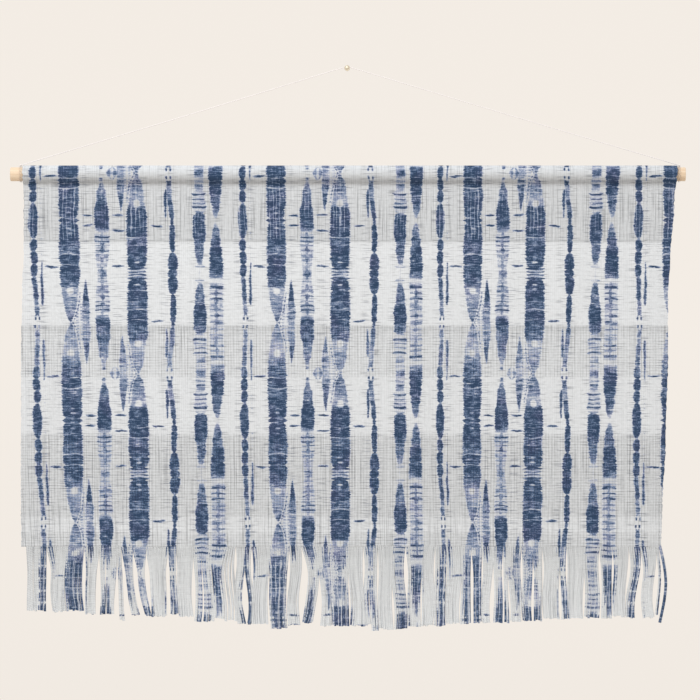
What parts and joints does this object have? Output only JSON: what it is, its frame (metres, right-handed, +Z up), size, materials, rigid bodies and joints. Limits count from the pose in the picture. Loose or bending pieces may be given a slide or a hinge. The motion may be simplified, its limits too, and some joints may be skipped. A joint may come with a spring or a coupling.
{
  "type": "shibori dyed wall hanging with wooden rod",
  "caption": "Hand-woven, indigo shibori dyed cloth with a fringed lower edge, its top turned over a pale wooden rod that hangs by a thin cord from a wall nail.",
  "frame": {"origin": "where the axis of the wall nail meets the face of the wall", "axes": "+X along the rod, to the viewer's right; +Y into the wall; +Z up"},
  "size_m": [0.619, 0.0368, 0.5192],
  "materials": {
    "dyed_cloth": "matte plain-woven cotton, indigo shibori stripes on undyed grey-white",
    "warp_ends": "matte loose cotton yarn, dyed in line with the stripes",
    "pale_wood": "bare sanded, satin",
    "hanging_cord": "undyed thin twisted thread",
    "nail_brass": "satin pale brass"
  },
  "bodies": {
    "root": {"cloth": "dyed_cloth", "fringe": "warp_ends", "rod": "pale_wood", "cord": "hanging_cord", "knot_left": "hanging_cord", "knot_right": "hanging_cord", "nail": "nail_brass"}
  },
  "joints": []
}
